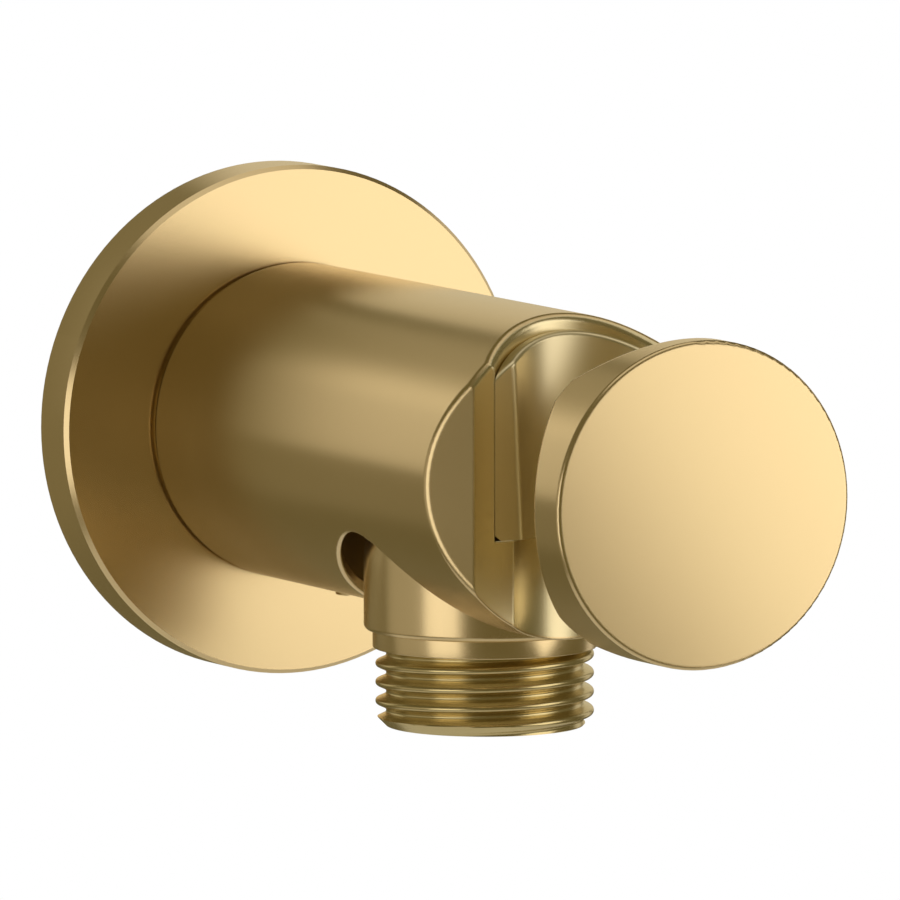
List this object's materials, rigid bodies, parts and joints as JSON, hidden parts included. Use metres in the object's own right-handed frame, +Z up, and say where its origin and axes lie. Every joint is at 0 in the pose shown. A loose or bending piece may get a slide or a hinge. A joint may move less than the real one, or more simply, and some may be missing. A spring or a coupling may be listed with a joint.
{
  "type": "wall outlet elbow",
  "caption": "Wall elbow for a shower hose: round flange, horizontal body with a slotted socket that holds a hand shower, and a threaded outlet that points down.",
  "frame": {"origin": "on the body's axis, in the plane of the wall", "axes": "+Y into the wall along the body's axis, +Z up, so the outlet points along -Z and the holder's slot opens to -X"},
  "size_m": [0.05, 0.0885, 0.0505],
  "materials": {
    "satin_brass": "smooth satin, warm gold",
    "plain_brass": "plain turned",
    "plated_plastic": "satin plated to match the body",
    "stainless_steel": "plain",
    "seal_rubber": "matt black",
    "gasket_foam": "closed foam, dark grey",
    "valve_plastic": "white moulding",
    "poppet_plastic": "blue moulding"
  },
  "bodies": {
    "fitting": {"wall_flange": "satin_brass", "flange_ring": "seal_rubber", "wall_gasket": "gasket_foam", "holder_body": "satin_brass", "holder_liner": "plated_plastic", "waterway_core": "plain_brass", "inlet_adapter": "plain_brass", "inlet_washer": "seal_rubber", "inlet_ring_1": "seal_rubber", "inlet_ring_2": "seal_rubber", "locking_screw": "satin_brass", "outlet_nipple": "satin_brass", "nipple_ring": "seal_rubber", "valve_housing": "valve_plastic", "valve_ring": "seal_rubber", "valve_spring": "stainless_steel", "valve_guide": "valve_plastic"},
    "poppet": {"valve_poppet": "poppet_plastic", "poppet_seal": "seal_rubber"}
  },
  "joints": [
    {"name": "valve_travel", "type": "slide", "parent": "fitting", "child": "poppet", "axis": [0, 0, -1], "range_m": [0, 0.0025], "stiffness_N_per_m": 200, "springref_m": -0.003, "deforming": ["valve_spring"]}
  ]
}
